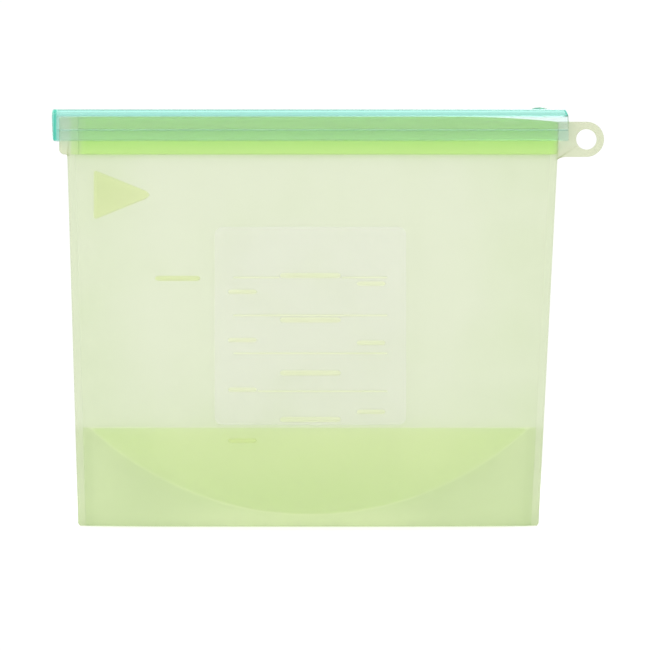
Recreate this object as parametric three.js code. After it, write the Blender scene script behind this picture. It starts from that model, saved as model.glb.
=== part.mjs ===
// A reusable silicone storage bag with a clear slide clip, standing on its base with the mouth closed.
// Millimetres. +X runs along the rim to the hanging tab, -Y is the front with the scale, +Z is up.
// The bag is bonded from silicone sheets, and the clip slides along its rim.
import * as THREE from 'three';

// Fits.
const CLEARANCE = 0.3; // between pieces that meet
const HINGE_GAP = 0.6; // between the wall and the foot, along the line where the foot folds
const MARK_CLEARANCE = 0.15; // between a moulded mark and the sheet it stands on

// Bag body: a flat pouch that narrows towards its base.
const BODY_WIDTH_TOP = 215;
const BODY_WIDTH_BASE = 201.8;
const BODY_LEAN = 1.8; // the middle of the rim stands this far to the right of the middle of the base
const BODY_HEIGHT = 162.4;
const WALL = 0.8;
const SEAM_WIDTH = 3.3;

// Half the space between the two walls, along the middle of the bag and at its seams.
const SPACE_AT_SEAM = 0.15;
const SPACE_AT_RIM = 0.3;
const SPACE_IN_BELLY = 3;
const SPACE_AT_BASE = 7.2;
const BELLY_TOP = 95; // above this height the walls draw together
const FULLNESS = 6; // power of the curve across the bag: the higher, the flatter the middle

// Foot: skirts that stand on the table, and a gusset folded up between them.
const FOLD_HEIGHT = 43;
const GUSSET_WALL = 0.7;
const GUSSET_MARGIN = 6.3; // from the seam to where the gusset comes free
const ARC_LOWEST = 5.2; // height of the lowest point of the bonded arc

// Rim: a band, a neck that the clip's lips hold, and a bead above them.
const RIM_EXPOSED = 5.8; // band that shows below the clip
const RIM_THICKNESS = 1.7; // each half
const BEAD_THICKNESS = 3.15; // each half
const BEAD_HEIGHT = 5.4;
const BEAD_CHAMFER = 1.2;
const RIM_INSET = 4.9; // from the body's left edge to the start of the thick rim
const SEAL_RIB = 0.9; // height and reach of the rib that presses into the back rim
const SEAL_BELOW_TOP = 2.7;

// Flange at the left end of the rim.
const FLANGE_OVERHANG = 3.5;
const FLANGE_THICKNESS = 1.8;
const FLANGE_CORNER = 2.2;

// Hanging tab at the right end of the rim.
const TAB_REACH = 19.7;
const TAB_HEIGHT = 15.4;
const TAB_THICKNESS = 2;
const TAB_HOLE_RADIUS = 4.5;
const TAB_DROP = 1.1; // the tab's lower edge lies this far under the rim's
const TAB_FILLET = 1.4;

// Clip: a channel with inward lips, closed at its left end.
const CLIP_WALL = 1.25;
const CLIP_TOP_WALL = 2.8;
const CLIP_CORNER = 3.4;
const LIP_HEIGHT = 5.1;
const LIP_LEAD_IN = 0.7;
const CLIP_END_WALL = 1.7;
const CLIP_END_BEVEL = 0.45;
const CLIP_END_PLAY = 1; // between the end wall and the flange
const CLIP_OVERHANG = 4.2; // past the right end of the rim
const BUMP_LENGTH = 5.8;
const BUMP_WIDTH = 3.2;
const BUMP_HEIGHT = 0.8;
const BUMP_FROM_END = 12.4;

// Marks on the front wall. Heights are counted from the fold line.
const MARK_THICKNESS = 0.35;
const PATCH_THICKNESS = 0.25;
const PATCH_WIDTH = 83.8;
const PATCH_BOTTOM = 1.2;
const PATCH_TOP = 87.9;
const PATCH_CORNER = 3.5;
const ARROW_LENGTH = 24.4;
const ARROW_HEIGHT = 21.9;
const ARROW_TIP = 0.08; // height of the blunt tip, as a share of the arrow's height
const ARROW_INSET = 11.2; // from the body's left edge
const ARROW_DROP = 6.5; // below the top of the wall
const LINE_HALF_LENGTH = 33.7;
const LINE_WIDTH = 0.7;
const LINE_TOP = 65.7;
const LINE_PITCH = 16.6;
const LABEL_WIDTH = 2.2;
const CENTRE_LABEL_HALF_LENGTH = 13.3;
const CENTRE_LABEL_HEIGHTS = [66.5, 47.1, 23.9, 3.6];
const SIDE_LABEL_LENGTH = 12.5;
const SIDE_LABEL_WIDTH = 1.9;
const LEFT_LABEL_START = -36;
const LEFT_LABEL_HEIGHTS = [59.4, 38.3, 16.6];
const FOOT_LABEL_HEIGHT = -5.7;
const RIGHT_LABEL_START = 20.3;
const RIGHT_LABEL_HEIGHTS = [63, 37.1, 6.9];
const UNIT_LABEL_START = -68;
const UNIT_LABEL_LENGTH = 19.8;
const UNIT_LABEL_HEIGHT = 65.3;

// Grid of the curved sheets.
const WALL_COLUMNS = 30;
const WALL_ROWS = 10;
const FOOT_COLUMNS = 40;
const FOOT_ROWS = 3;
const GUSSET_ROWS = 5;
const SEAM_ROWS = 4;
const PATCH_COLUMNS = 10;
const PATCH_ROWS = 12;
const MARK_CELL = 8;
const ARC_STEPS = 12;

// Levels and ends that follow from the sizes above.
const rimBottom = BODY_HEIGHT + CLEARANCE;
const clipBottom = rimBottom + RIM_EXPOSED;
const lipTop = clipBottom + LIP_HEIGHT;
const beadBottom = lipTop + CLEARANCE;
const rimTop = beadBottom + BEAD_HEIGHT;
const cavityTop = rimTop + CLEARANCE;
const clipTop = cavityTop + CLIP_TOP_WALL;
const neckHalf = CLEARANCE / 2 + RIM_THICKNESS;
const beadHalf = CLEARANCE / 2 + BEAD_THICKNESS;
const lipHalf = neckHalf + CLEARANCE;
const cavityHalf = beadHalf + CLEARANCE;
const clipHalf = cavityHalf + CLIP_WALL;
const rimLeft = bodyLeft(BODY_HEIGHT) + RIM_INSET;
const rimRight = bodyRight(BODY_HEIGHT) + CLEARANCE;
const flangeLeft = bodyLeft(BODY_HEIGHT) - FLANGE_OVERHANG;
const channelLeft = flangeLeft - CLIP_END_PLAY;
const clipLeft = channelLeft - CLEARANCE - CLIP_END_WALL;
const clipRight = rimRight + CLIP_OVERHANG;
const tabLeft = rimRight + CLEARANCE;
const tabRight = tabLeft + TAB_REACH;

const FRONT = -1;
const BACK = 1;

const SILICONE = { color: '#d9ecb4', roughness: 0.55, metalness: 0, transparent: true, opacity: 0.85 };
const THICK_SILICONE = { color: '#b4df8b', roughness: 0.5, metalness: 0 };
const MARK_SILICONE = { color: '#cfe6a4', roughness: 0.55, metalness: 0 };
const FROSTED_SILICONE = { color: '#e6eed8', roughness: 0.8, metalness: 0 };
const CLEAR_PLASTIC = { color: '#8fe3cd', roughness: 0.08, metalness: 0, transparent: true, opacity: 0.5 };

function lerp(from, to, share) {
  return from + (to - from) * share;
}

function smooth(share) {
  const s = Math.min(Math.max(share, 0), 1);
  return s * s * (3 - 2 * s);
}

// The body's middle line, its edges and half its width inside the seams, at a height.
function middle(z) {
  return BODY_LEAN * (z / BODY_HEIGHT - 0.5);
}

function bodyHalfWidth(z) {
  return lerp(BODY_WIDTH_BASE, BODY_WIDTH_TOP, z / BODY_HEIGHT) / 2;
}

function bodyLeft(z) {
  return middle(z) - bodyHalfWidth(z);
}

function bodyRight(z) {
  return middle(z) + bodyHalfWidth(z);
}

function wallHalfWidth(z) {
  return bodyHalfWidth(z) - SEAM_WIDTH - CLEARANCE;
}

// Half the space inside the bag: widest along the middle, least at the seams.
function space(x, z) {
  const below = lerp(SPACE_IN_BELLY, SPACE_AT_BASE, Math.max(0, 1 - z / FOLD_HEIGHT));
  const above = lerp(below, SPACE_AT_RIM, smooth((z - BELLY_TOP) / (BODY_HEIGHT - BELLY_TOP)));
  const across = Math.min(Math.abs(x - middle(z)) / wallHalfWidth(z), 1);
  return SPACE_AT_SEAM + above * (1 - across ** FULLNESS);
}

function wallFace(x, z) {
  return space(x, z) + WALL;
}

// A sheet on the front or back: place(u, v) gives x and z, and inner and outer give its two half-depths.
function curvedSheet(columns, rows, place, inner, outer, side) {
  const geometry = new THREE.BoxGeometry(1, 1, 1, columns, 1, rows);
  const position = geometry.attributes.position;
  for (let i = 0; i < position.count; i += 1) {
    const [x, z] = place(position.getX(i) + 0.5, position.getZ(i) + 0.5);
    const isOuter = position.getY(i) * side > 0;
    position.setXYZ(i, x, side * (isOuter ? outer(x, z) : inner(x, z)), z);
  }
  geometry.computeVertexNormals();
  return geometry;
}

// A strip of wall between two heights, from seam to seam.
function wallStrip(bottom, top) {
  return (u, v) => {
    const z = lerp(bottom, top, v);
    return [middle(z) + lerp(-1, 1, u) * wallHalfWidth(z), z];
  };
}

// A profile in Y and Z, carried along X.
function alongX(shape, from, to, options = {}) {
  const geometry = new THREE.ExtrudeGeometry(shape, {
    depth: to - from,
    bevelEnabled: false,
    curveSegments: ARC_STEPS,
    ...options,
  });
  const basis = new THREE.Matrix4().makeBasis(
    new THREE.Vector3(0, 1, 0),
    new THREE.Vector3(0, 0, 1),
    new THREE.Vector3(1, 0, 0),
  );
  return geometry.applyMatrix4(basis).translate(from, 0, 0);
}

// A flat outline in X and Z with a thickness centred on Y = 0.
function flatPlate(shape, thickness) {
  const geometry = new THREE.ExtrudeGeometry(shape, {
    depth: thickness,
    bevelEnabled: false,
    curveSegments: ARC_STEPS,
  });
  return geometry.rotateX(Math.PI / 2).translate(0, thickness / 2, 0);
}

function polygon(points) {
  return new THREE.Shape(points.map(([a, b]) => new THREE.Vector2(a, b)));
}

function seamGeometry(edge, inward) {
  const half = SPACE_AT_SEAM + WALL;
  const place = (u, v) => {
    const z = v * BODY_HEIGHT;
    const near = Math.min(edge(z), edge(z) + inward * SEAM_WIDTH);
    return [near + u * SEAM_WIDTH, z];
  };
  return curvedSheet(1, SEAM_ROWS, place, () => -half, () => half, BACK);
}

function panelGeometry(side) {
  const place = wallStrip(FOLD_HEIGHT + HINGE_GAP / 2, BODY_HEIGHT);
  return curvedSheet(WALL_COLUMNS, WALL_ROWS, place, space, wallFace, side);
}

function skirtGeometry(side) {
  const place = wallStrip(0, FOLD_HEIGHT - HINGE_GAP / 2);
  return curvedSheet(FOOT_COLUMNS, FOOT_ROWS, place, space, wallFace, side);
}

// Height of the bonded arc, a circle through both ends of the fold and its lowest point.
function arcHeight(x) {
  const halfSpan = wallHalfWidth(FOLD_HEIGHT) - GUSSET_MARGIN / 2;
  const drop = FOLD_HEIGHT - HINGE_GAP / 2 - ARC_LOWEST;
  const radius = (halfSpan ** 2 + drop ** 2) / (2 * drop);
  const across = x - middle(FOLD_HEIGHT);
  return ARC_LOWEST + radius - Math.sqrt(radius ** 2 - across ** 2);
}

// Half of the gusset: from the arc, where it is bonded to the skirt, up and in to the fold.
function gussetGeometry(side) {
  const halfWidth = wallHalfWidth(FOLD_HEIGHT) - GUSSET_MARGIN;
  const fold = FOLD_HEIGHT - HINGE_GAP / 2;
  const place = (u, v) => {
    const x = middle(FOLD_HEIGHT) + lerp(-1, 1, u) * halfWidth;
    return [x, lerp(arcHeight(x), fold, v)];
  };
  const inner = (x, z) => {
    const low = arcHeight(x);
    const atSkirt = space(x, low) - CLEARANCE - GUSSET_WALL;
    return lerp(atSkirt, CLEARANCE / 2, (z - low) / (fold - low));
  };
  const outer = (x, z) => inner(x, z) + GUSSET_WALL;
  return curvedSheet(FOOT_COLUMNS, GUSSET_ROWS, place, inner, outer, side);
}

// Half of the rim, with a rib on the front half and its groove in the back half.
function rimGeometry(side) {
  const inner = CLEARANCE / 2;
  const ribMiddle = rimTop - SEAL_BELOW_TOP;
  const isFront = side === FRONT;
  const reach = isFront ? inner - SEAL_RIB : inner + SEAL_RIB + CLEARANCE / 2;
  const half = isFront ? SEAL_RIB / 2 : SEAL_RIB / 2 + CLEARANCE;
  const points = [
    [inner, rimBottom],
    [neckHalf, rimBottom],
    [neckHalf, beadBottom],
    [beadHalf, beadBottom],
    [beadHalf, rimTop - BEAD_CHAMFER],
    [beadHalf - BEAD_CHAMFER, rimTop],
    [inner, rimTop],
    [inner, ribMiddle + half],
    [reach, ribMiddle + half],
    [reach, ribMiddle - half],
    [inner, ribMiddle - half],
  ];
  return alongX(polygon(points.map(([y, z]) => [side * y, z])), rimLeft, rimRight);
}

function flangeGeometry() {
  const right = rimLeft - CLEARANCE;
  const top = rimTop;
  const shape = new THREE.Shape();
  shape.moveTo(right, rimBottom);
  shape.lineTo(right, top);
  shape.lineTo(flangeLeft, top);
  shape.lineTo(flangeLeft, rimBottom + FLANGE_CORNER);
  shape.absarc(flangeLeft + FLANGE_CORNER, rimBottom + FLANGE_CORNER, FLANGE_CORNER, Math.PI, 1.5 * Math.PI);
  return flatPlate(shape, FLANGE_THICKNESS);
}

function tabGeometry() {
  const low = rimBottom - TAB_DROP;
  const radius = TAB_HEIGHT / 2;
  const eye = new THREE.Vector2(tabRight - radius, low + radius);
  const shape = new THREE.Shape();
  shape.moveTo(tabLeft, low - TAB_FILLET);
  shape.absarc(tabLeft + TAB_FILLET, low - TAB_FILLET, TAB_FILLET, Math.PI, Math.PI / 2, true);
  shape.absarc(eye.x, eye.y, radius, -Math.PI / 2, Math.PI / 2);
  shape.lineTo(tabLeft, low + TAB_HEIGHT);
  const hole = new THREE.Path();
  hole.absarc(eye.x, eye.y, TAB_HOLE_RADIUS, 0, 2 * Math.PI, true);
  shape.holes.push(hole);
  return flatPlate(shape, TAB_THICKNESS);
}

// The clip's outer outline, from the lower left up over the rounded top to the lower right.
function clipOutline() {
  const shape = new THREE.Shape();
  shape.moveTo(-clipHalf, clipBottom);
  shape.lineTo(-clipHalf, clipTop - CLIP_CORNER);
  shape.absarc(-clipHalf + CLIP_CORNER, clipTop - CLIP_CORNER, CLIP_CORNER, Math.PI, Math.PI / 2, true);
  shape.absarc(clipHalf - CLIP_CORNER, clipTop - CLIP_CORNER, CLIP_CORNER, Math.PI / 2, 0, true);
  shape.lineTo(clipHalf, clipBottom);
  return shape;
}

function channelGeometry() {
  const shape = clipOutline();
  shape.lineTo(lipHalf + LIP_LEAD_IN, clipBottom);
  shape.lineTo(lipHalf, clipBottom + LIP_LEAD_IN);
  shape.lineTo(lipHalf, lipTop);
  shape.lineTo(cavityHalf, lipTop);
  shape.lineTo(cavityHalf, cavityTop);
  shape.lineTo(-cavityHalf, cavityTop);
  shape.lineTo(-cavityHalf, lipTop);
  shape.lineTo(-lipHalf, lipTop);
  shape.lineTo(-lipHalf, clipBottom + LIP_LEAD_IN);
  shape.lineTo(-lipHalf - LIP_LEAD_IN, clipBottom);
  return alongX(shape, channelLeft, clipRight);
}

function clipEndGeometry() {
  const bevel = {
    bevelEnabled: true,
    bevelThickness: CLIP_END_BEVEL,
    bevelSize: CLIP_END_BEVEL,
    bevelOffset: -CLIP_END_BEVEL,
    bevelSegments: 2,
  };
  const from = clipLeft + CLIP_END_BEVEL;
  return alongX(clipOutline(), from, from + CLIP_END_WALL - 2 * CLIP_END_BEVEL, bevel);
}

function bumpGeometry() {
  const points = [new THREE.Vector2(0, 0)];
  for (let i = 0; i <= ARC_STEPS / 2; i += 1) {
    const angle = (i / ARC_STEPS) * Math.PI;
    points.push(new THREE.Vector2(Math.cos(angle), Math.sin(angle)));
  }
  points[points.length - 1].x = 0;
  return new THREE.LatheGeometry(points, 2 * ARC_STEPS)
    .rotateX(Math.PI / 2)
    .scale(BUMP_LENGTH / 2, BUMP_WIDTH / 2, BUMP_HEIGHT)
    .translate(clipRight - BUMP_FROM_END, 0, clipTop + MARK_CLEARANCE);
}

// A raised mark that follows the front wall, standing on the sheets of the given thickness below it.
function markGeometry(columns, rows, place, standsOn, thickness) {
  const inner = (x, z) => wallFace(x, z) + standsOn + MARK_CLEARANCE;
  const outer = (x, z) => inner(x, z) + thickness;
  return curvedSheet(columns, rows, place, inner, outer, FRONT);
}

const ON_PATCH = MARK_CLEARANCE + PATCH_THICKNESS;
const ON_WALL = 0;

function barGeometry(start, length, height, width, standsOn) {
  const columns = Math.ceil(length / MARK_CELL);
  const centre = FOLD_HEIGHT + height;
  const place = (u, v) => [start + u * length, centre + (v - 0.5) * width];
  return markGeometry(columns, 1, place, standsOn, MARK_THICKNESS);
}

function patchGeometry() {
  const bottom = FOLD_HEIGHT + PATCH_BOTTOM;
  const top = FOLD_HEIGHT + PATCH_TOP;
  const place = (u, v) => {
    const z = lerp(bottom, top, v);
    const intoCorner = Math.max(0, PATCH_CORNER - Math.min(z - bottom, top - z));
    const inset = PATCH_CORNER - Math.sqrt(PATCH_CORNER ** 2 - intoCorner ** 2);
    return [lerp(-1, 1, u) * (PATCH_WIDTH / 2 - inset), z];
  };
  return markGeometry(PATCH_COLUMNS, PATCH_ROWS, place, ON_WALL, PATCH_THICKNESS);
}

function arrowGeometry() {
  const top = BODY_HEIGHT - ARROW_DROP;
  const centre = top - ARROW_HEIGHT / 2;
  const left = bodyLeft(centre) + ARROW_INSET;
  const place = (u, v) => {
    const height = ARROW_HEIGHT * lerp(1, ARROW_TIP, u);
    return [left + u * ARROW_LENGTH, centre + (v - 0.5) * height];
  };
  return markGeometry(4, 2, place, ON_WALL, MARK_THICKNESS);
}

const bag = new THREE.Group();

function add(name, geometry, look) {
  const mesh = new THREE.Mesh(geometry, new THREE.MeshStandardMaterial(look));
  mesh.name = name;
  bag.add(mesh);
}

function addSeams() {
  add('left_side_seam', seamGeometry(bodyLeft, 1), SILICONE);
  add('right_side_seam', seamGeometry(bodyRight, -1), SILICONE);
  add('left_rim_flange', flangeGeometry(), SILICONE);
  add('hang_tab', tabGeometry(), SILICONE);
}

function addWall(name, side) {
  add(`${name}_panel`, panelGeometry(side), SILICONE);
  add(`${name}_rim`, rimGeometry(side), THICK_SILICONE);
  add(`${name}_skirt`, skirtGeometry(side), SILICONE);
  add(`gusset_${name}_half`, gussetGeometry(side), THICK_SILICONE);
}

function addBar(name, start, length, height, width, standsOn = ON_PATCH) {
  add(name, barGeometry(start, length, height, width, standsOn), MARK_SILICONE);
}

// The first line stops at both sides of its centre label, and the last one at its left label.
function addFillLines() {
  const breakHalf = CENTRE_LABEL_HALF_LENGTH + CLEARANCE;
  const sidePiece = LINE_HALF_LENGTH - breakHalf;
  const lastStart = LEFT_LABEL_START + SIDE_LABEL_LENGTH + CLEARANCE;
  addBar('fill_line_1_left', -LINE_HALF_LENGTH, sidePiece, LINE_TOP, LINE_WIDTH);
  addBar('fill_line_1_right', breakHalf, sidePiece, LINE_TOP, LINE_WIDTH);
  addBar('fill_line_2', -LINE_HALF_LENGTH, 2 * LINE_HALF_LENGTH, LINE_TOP - LINE_PITCH, LINE_WIDTH);
  addBar('fill_line_3', -LINE_HALF_LENGTH, 2 * LINE_HALF_LENGTH, LINE_TOP - 2 * LINE_PITCH, LINE_WIDTH);
  addBar('fill_line_4', lastStart, LINE_HALF_LENGTH - lastStart, LINE_TOP - 3 * LINE_PITCH, LINE_WIDTH);
}

function addLabels() {
  CENTRE_LABEL_HEIGHTS.forEach((height, i) => {
    const length = 2 * CENTRE_LABEL_HALF_LENGTH;
    addBar(`centre_label_${i + 1}`, -CENTRE_LABEL_HALF_LENGTH, length, height, LABEL_WIDTH);
  });
  LEFT_LABEL_HEIGHTS.forEach((height, i) => {
    addBar(`left_label_${i + 1}`, LEFT_LABEL_START, SIDE_LABEL_LENGTH, height, SIDE_LABEL_WIDTH);
  });
  RIGHT_LABEL_HEIGHTS.forEach((height, i) => {
    addBar(`right_label_${i + 1}`, RIGHT_LABEL_START, SIDE_LABEL_LENGTH, height, SIDE_LABEL_WIDTH);
  });
  addBar('foot_label', LEFT_LABEL_START, SIDE_LABEL_LENGTH, FOOT_LABEL_HEIGHT, SIDE_LABEL_WIDTH, ON_WALL);
  addBar('unit_label', UNIT_LABEL_START, UNIT_LABEL_LENGTH, UNIT_LABEL_HEIGHT, LABEL_WIDTH, ON_WALL);
}

function addMarks() {
  add('arrow_mark', arrowGeometry(), MARK_SILICONE);
  add('writing_panel', patchGeometry(), FROSTED_SILICONE);
  addFillLines();
  addLabels();
}

function addClip() {
  add('clip_channel', channelGeometry(), CLEAR_PLASTIC);
  add('clip_end_wall', clipEndGeometry(), CLEAR_PLASTIC);
  add('clip_thumb_bump', bumpGeometry(), CLEAR_PLASTIC);
}

addSeams();
addWall('front', FRONT);
addWall('back', BACK);
addMarks();
addClip();

// The origin lies under the middle of the whole object, clip and tab included.
bag.position.x = -(clipLeft + tabRight) / 2;
bag.updateMatrixWorld(true);

export default bag;
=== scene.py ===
# %% [markdown]
# # A reusable silicone bag with a slide clip
# The bag is bonded from thin translucent silicone sheets. A thick rim runs along its mouth, and a clear
# plastic channel slides over that rim to close it. The CAD model has already fixed every size and joint, so
# this lesson loads it as a frame, lays finer surfaces where its solids are, and gives each one its finish.

# %% Load the frame and keep its box
import math

import bpy
import numpy as np
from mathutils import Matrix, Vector


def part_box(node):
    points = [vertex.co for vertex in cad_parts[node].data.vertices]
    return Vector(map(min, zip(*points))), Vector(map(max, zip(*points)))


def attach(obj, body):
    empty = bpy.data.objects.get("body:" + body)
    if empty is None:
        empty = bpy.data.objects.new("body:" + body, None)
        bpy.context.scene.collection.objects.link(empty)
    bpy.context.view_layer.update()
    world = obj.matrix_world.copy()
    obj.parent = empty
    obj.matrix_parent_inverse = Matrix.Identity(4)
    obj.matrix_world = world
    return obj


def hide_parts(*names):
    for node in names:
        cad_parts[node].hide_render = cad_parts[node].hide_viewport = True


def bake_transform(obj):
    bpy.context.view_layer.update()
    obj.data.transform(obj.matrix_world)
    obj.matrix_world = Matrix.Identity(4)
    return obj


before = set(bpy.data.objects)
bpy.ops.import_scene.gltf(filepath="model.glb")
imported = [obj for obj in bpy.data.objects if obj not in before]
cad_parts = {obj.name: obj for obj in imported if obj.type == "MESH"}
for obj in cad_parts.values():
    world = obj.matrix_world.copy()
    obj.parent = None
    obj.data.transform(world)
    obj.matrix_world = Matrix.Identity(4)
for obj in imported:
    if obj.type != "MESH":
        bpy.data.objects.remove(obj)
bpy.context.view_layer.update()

# %% [markdown]
# Shapes are easier to think about in millimetres, while Blender counts in metres. Every shape below is
# worked out in millimetres and turned to metres once, when its points go into a mesh.

# %% Boxes of CAD nodes in millimetres
MM = 0.001


def box_mm(node):
    """Lowest and highest corner of a CAD node at rest, as two arrays of x, y and z in millimetres."""
    low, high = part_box(node)
    return np.array(low) / MM, np.array(high) / MM


seam_low, seam_high = box_mm("left_side_seam")
right_low, right_high = box_mm("right_side_seam")
print("left seam runs from", seam_low.round(2), "to", seam_high.round(2))

# %% [markdown]
# The body is a flat pouch whose two side edges are straight lines that lean a little. The seam nodes give
# the ends of those lines, so the edge at any height is found by going from the base value to the top value
# in proportion to the height.

# %% Edges of the body
SEAM_WIDTH = 3.3
body_height = seam_high[2]
rim_bottom = box_mm("front_rim")[0][2]
fold_height = (box_mm("front_skirt")[1][2] + box_mm("front_panel")[0][2]) / 2


def mix(first, second, share):
    """The value that lies the given share of the way from first to second."""
    return first + (second - first) * share


def smooth(share):
    """An S-curve from 0 to 1: 3 s squared minus 2 s cubed, with s kept between 0 and 1."""
    s = np.clip(share, 0, 1)
    return s * s * (3 - 2 * s)


def body_left(z):
    """x of the left edge: a straight line from the base to the top of the wall."""
    return mix(seam_high[0] - SEAM_WIDTH, seam_low[0], z / body_height)


def body_right(z):
    """x of the right edge, the same kind of line."""
    return mix(right_low[0] + SEAM_WIDTH, right_high[0], z / body_height)


def middle(z):
    """x halfway between the two edges."""
    return (body_left(z) + body_right(z)) / 2


def wall_half_width(z):
    """Half of the width between the inner edges of the two seams."""
    return (body_right(z) - body_left(z)) / 2 - SEAM_WIDTH


top_width = body_right(body_height) - body_left(body_height)
print("width at the base and at the top:", body_right(0) - body_left(0), top_width)

# %% [markdown]
# Between the walls there is a thin space, widest at the base where the folded foot stands open, and closed
# at the seams and the rim. Across the bag it follows 1 minus the sixth power of the distance from the
# middle, which is flat over most of the width and drops quickly beside the seams.

# %% Space between the walls
WALL = 0.8
SPACE_AT_SEAM = 0.15
SPACE_AT_RIM = 0.3
SPACE_IN_BELLY = 3
SPACE_AT_BASE = 7.2
BELLY_TOP = 95
FULLNESS = 6
RIPPLE = 0.12
CALM_BASE = 8
FADE_HEIGHT = 20
FIRST_WAVE = (17, 60)
SECOND_WAVE = (23, 90)


def ripple(x, z):
    """Slow waves of a soft sheet: two sines of different lengths multiplied, fading out at edges and ends."""
    across = np.clip(np.abs(x - middle(z)) / wall_half_width(z), 0, 1)
    fade = (1 - across**4) * smooth((z - CALM_BASE) / FADE_HEIGHT) * smooth((body_height - z) / FADE_HEIGHT)
    first = np.sin(x / FIRST_WAVE[0] + z / FIRST_WAVE[1])
    second = np.sin(z / SECOND_WAVE[0] - x / SECOND_WAVE[1])
    return RIPPLE * fade * first * second


def space(x, z):
    """Half the space inside: base, belly and rim values joined by height, times the sixth-power curve."""
    below = mix(SPACE_IN_BELLY, SPACE_AT_BASE, np.maximum(0, 1 - z / fold_height))
    above = mix(below, SPACE_AT_RIM, smooth((z - BELLY_TOP) / (body_height - BELLY_TOP)))
    across = np.clip(np.abs(x - middle(z)) / wall_half_width(z), 0, 1)
    return SPACE_AT_SEAM + above * (1 - across**FULLNESS)


def wall_face(x, z):
    """How far a wall's outer face stands from the middle plane: the space and the sheet, with ripples."""
    return space(x, z) + WALL + ripple(x, z)


print("outer face at the middle of the base:", float(wall_face(middle(0), 0.0)))

# %% [markdown]
# A sheet has two faces and a thin rim all round. Its points are two grids, one for each face, and its quads
# join neighbours. The grid runs along +X and +Z, so a quad listed corner by corner looks towards -Y, which
# is outwards on the front; for the back every quad is listed the other way round.
# Where two pieces of one sheet meet, the rim between them is marked "inside", so that the material can
# leave it clear: in the real sheet there is no face there.

# %% Mesh helpers
FRONT = -1
BACK = 1
SHARP_ANGLE = 42


def new_piece(name, points, faces, inside=()):
    """A smooth-shaded mesh object from points in millimetres and lists of corner numbers.
    Each point also keeps its place at rest in millimetres, and each face whether it lies inside."""
    mesh = bpy.data.meshes.new(name)
    mesh.from_pydata(points * MM, [], [list(map(int, face)) for face in faces])
    place = mesh.attributes.new("place_mm", "FLOAT_VECTOR", "POINT")
    place.data.foreach_set("vector", points.astype(np.float32).ravel())
    hidden = np.zeros(len(mesh.polygons), np.float32)
    hidden[list(inside)] = 1
    mesh.attributes.new("inside", "FLOAT", "FACE").data.foreach_set("value", hidden)
    mesh.shade_smooth()
    mesh.set_sharp_from_angle(angle=math.radians(SHARP_ANGLE))
    mesh.update()
    piece = bpy.data.objects.new(name, mesh)
    bpy.context.scene.collection.objects.link(piece)
    return piece


def grid_faces(rows, columns):
    """Quads between neighbours of a grid of points that is counted row by row."""
    corner = np.arange(rows - 1)[:, None] * columns + np.arange(columns - 1)
    around = [corner, corner + 1, corner + columns + 1, corner + columns]
    return np.stack(around, axis=-1).reshape(-1, 4)


def grid_border(rows, columns):
    """Point numbers round the grid: along the bottom, up the right, back along the top, down the left."""
    bottom = np.arange(columns - 1)
    right = np.arange(rows - 1) * columns + columns - 1
    top = (rows - 1) * columns + np.arange(columns - 1, 0, -1)
    left = np.arange(rows - 1, 0, -1) * columns
    return {"bottom": bottom, "right": right, "top": top, "left": left}


def sheet_piece(name, x, z, outer, inner, side, joins=()):
    """A closed sheet: the outer grid lies at side times outer, the inner grid at side times inner, and a
    strip of quads joins them all round. joins names the edges where the sheet runs on in another piece."""
    rows, columns = x.shape
    count = rows * columns
    faces_out = np.stack(np.broadcast_arrays(x, side * outer, z), axis=-1).reshape(-1, 3)
    faces_in = np.stack(np.broadcast_arrays(x, side * inner, z), axis=-1).reshape(-1, 3)
    border = grid_border(rows, columns)
    loop = np.concatenate(list(border.values()))
    after = np.roll(loop, -1)
    rim = np.stack([after, loop, loop + count, after + count], axis=-1)
    quads = grid_faces(rows, columns)
    faces = np.concatenate([quads, quads[:, ::-1] + count, rim])
    if side == BACK:
        faces = faces[:, ::-1]
    edge_of = np.concatenate([[name_of] * len(numbers) for name_of, numbers in border.items()])
    inside = 2 * len(quads) + np.flatnonzero(np.isin(edge_of, joins))
    return new_piece(name, np.concatenate([faces_out, faces_in]), faces, inside)


def spread(first, last, count):
    """count evenly spaced values from first to last."""
    return np.linspace(first, last, count)


def faces_of(*corners):
    """Faces as lists of point numbers, from one number or array of numbers for each corner."""
    return np.stack(np.broadcast_arrays(*corners), axis=-1).reshape(-1, len(corners)).tolist()


print("helpers ready")

# %% [markdown]
# Silicone rubber is cast or pressed in a polished mould, and comes out with a soft satin skin. It is
# translucent: part of the light goes straight through, part comes through scattered and part is sent back.
# A mix of three shaders says that: Transparent for the straight part, Translucent for the scattered part,
# and Principled for the skin. Each surface a ray crosses tints it once more, so two sheets look deeper
# than one and four look deeper still, as on the real bag.

# %% Node helper and colours
def linear(hex_colour):
    """An sRGB hex colour as four linear numbers: the sRGB curve undone for each channel, and alpha 1."""
    channels = np.array([int(hex_colour[i : i + 2], 16) for i in (1, 3, 5)]) / 255
    flat = np.where(channels <= 0.04045, channels / 12.92, ((channels + 0.055) / 1.055) ** 2.4)
    return (*flat.tolist(), 1.0)


def node(tree, kind, *values, output=0, **settings):
    """Adds a shader node with its settings and gives back one output, or all of them if output is None.
    The values fill or link its inputs in order, or by name or number if they are one dictionary."""
    made = tree.nodes.new("ShaderNode" + kind)
    for name, value in settings.items():
        setattr(made, name, value)
    inputs = values[0] if values and isinstance(values[0], dict) else dict(enumerate(values))
    for key, value in inputs.items():
        if isinstance(value, bpy.types.NodeSocket):
            tree.links.new(value, made.inputs[key])
        else:
            made.inputs[key].default_value = value
    return made.outputs if output is None else made.outputs[output]


def new_material(name):
    """A node material that is still empty, and its tree."""
    material = bpy.data.materials.new(name)
    material.use_nodes = True
    material.node_tree.nodes.clear()
    return material, material.node_tree


SMOOTH_STEP = {"interpolation_type": "SMOOTHSTEP"}


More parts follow.
